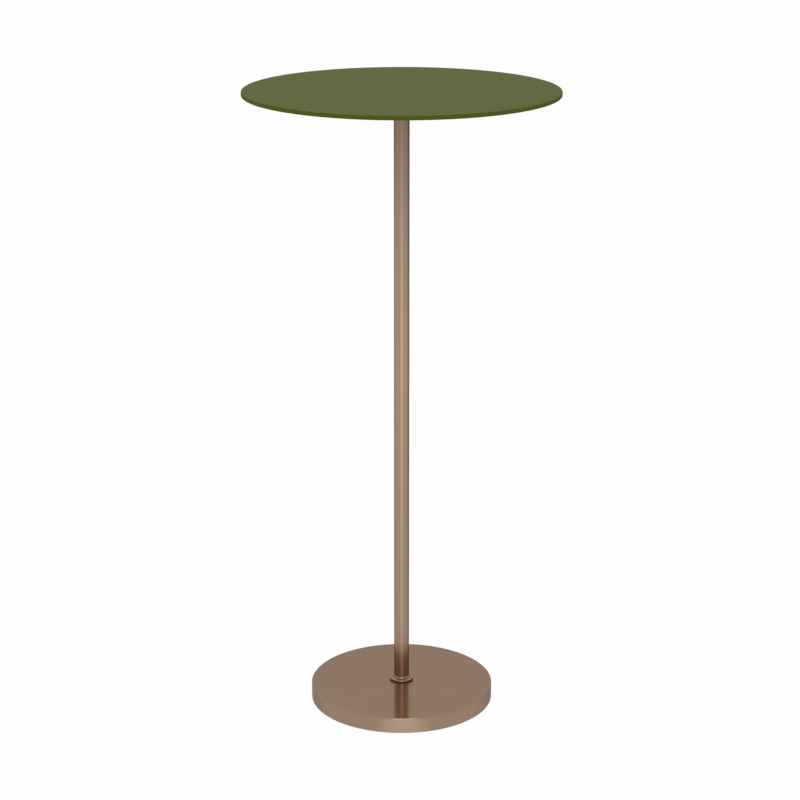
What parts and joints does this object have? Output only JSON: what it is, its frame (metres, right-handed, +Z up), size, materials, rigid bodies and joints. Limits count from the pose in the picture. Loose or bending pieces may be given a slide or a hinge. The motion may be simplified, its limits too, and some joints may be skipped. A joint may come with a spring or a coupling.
{
  "type": "pedestal wine table",
  "caption": "Small round pedestal table: a thin lacquered metal top on a slim bronze pole with a flanged collar, standing on a round weighted bronze base.",
  "frame": {"origin": "centre of the base on the floor, on the pole's axis", "axes": "+Z up along the pole; the table is turned about Z, and the picture looks along +Y"},
  "size_m": [0.3, 0.3, 0.616],
  "materials": {
    "top_lacquer": "matte",
    "bronze": "satin",
    "zinc_steel": "satin",
    "cast_iron": "matte",
    "gasket_rubber": "matte",
    "felt": "matte"
  },
  "bodies": {
    "root": {"top_disc": "top_lacquer", "top_flange": "bronze", "top_studs": "zinc_steel", "stud_washers": "zinc_steel", "stud_nuts": "zinc_steel", "hub_stud": "zinc_steel", "upper_plug": "zinc_steel", "pole_tube": "bronze", "lower_plug": "zinc_steel", "pole_collar": "bronze", "collar_gasket": "gasket_rubber", "base_cover": "bronze", "base_weight": "cast_iron", "base_bolt": "zinc_steel", "spring_washer": "zinc_steel", "flat_washer": "zinc_steel", "base_felt": "felt"}
  },
  "joints": []
}
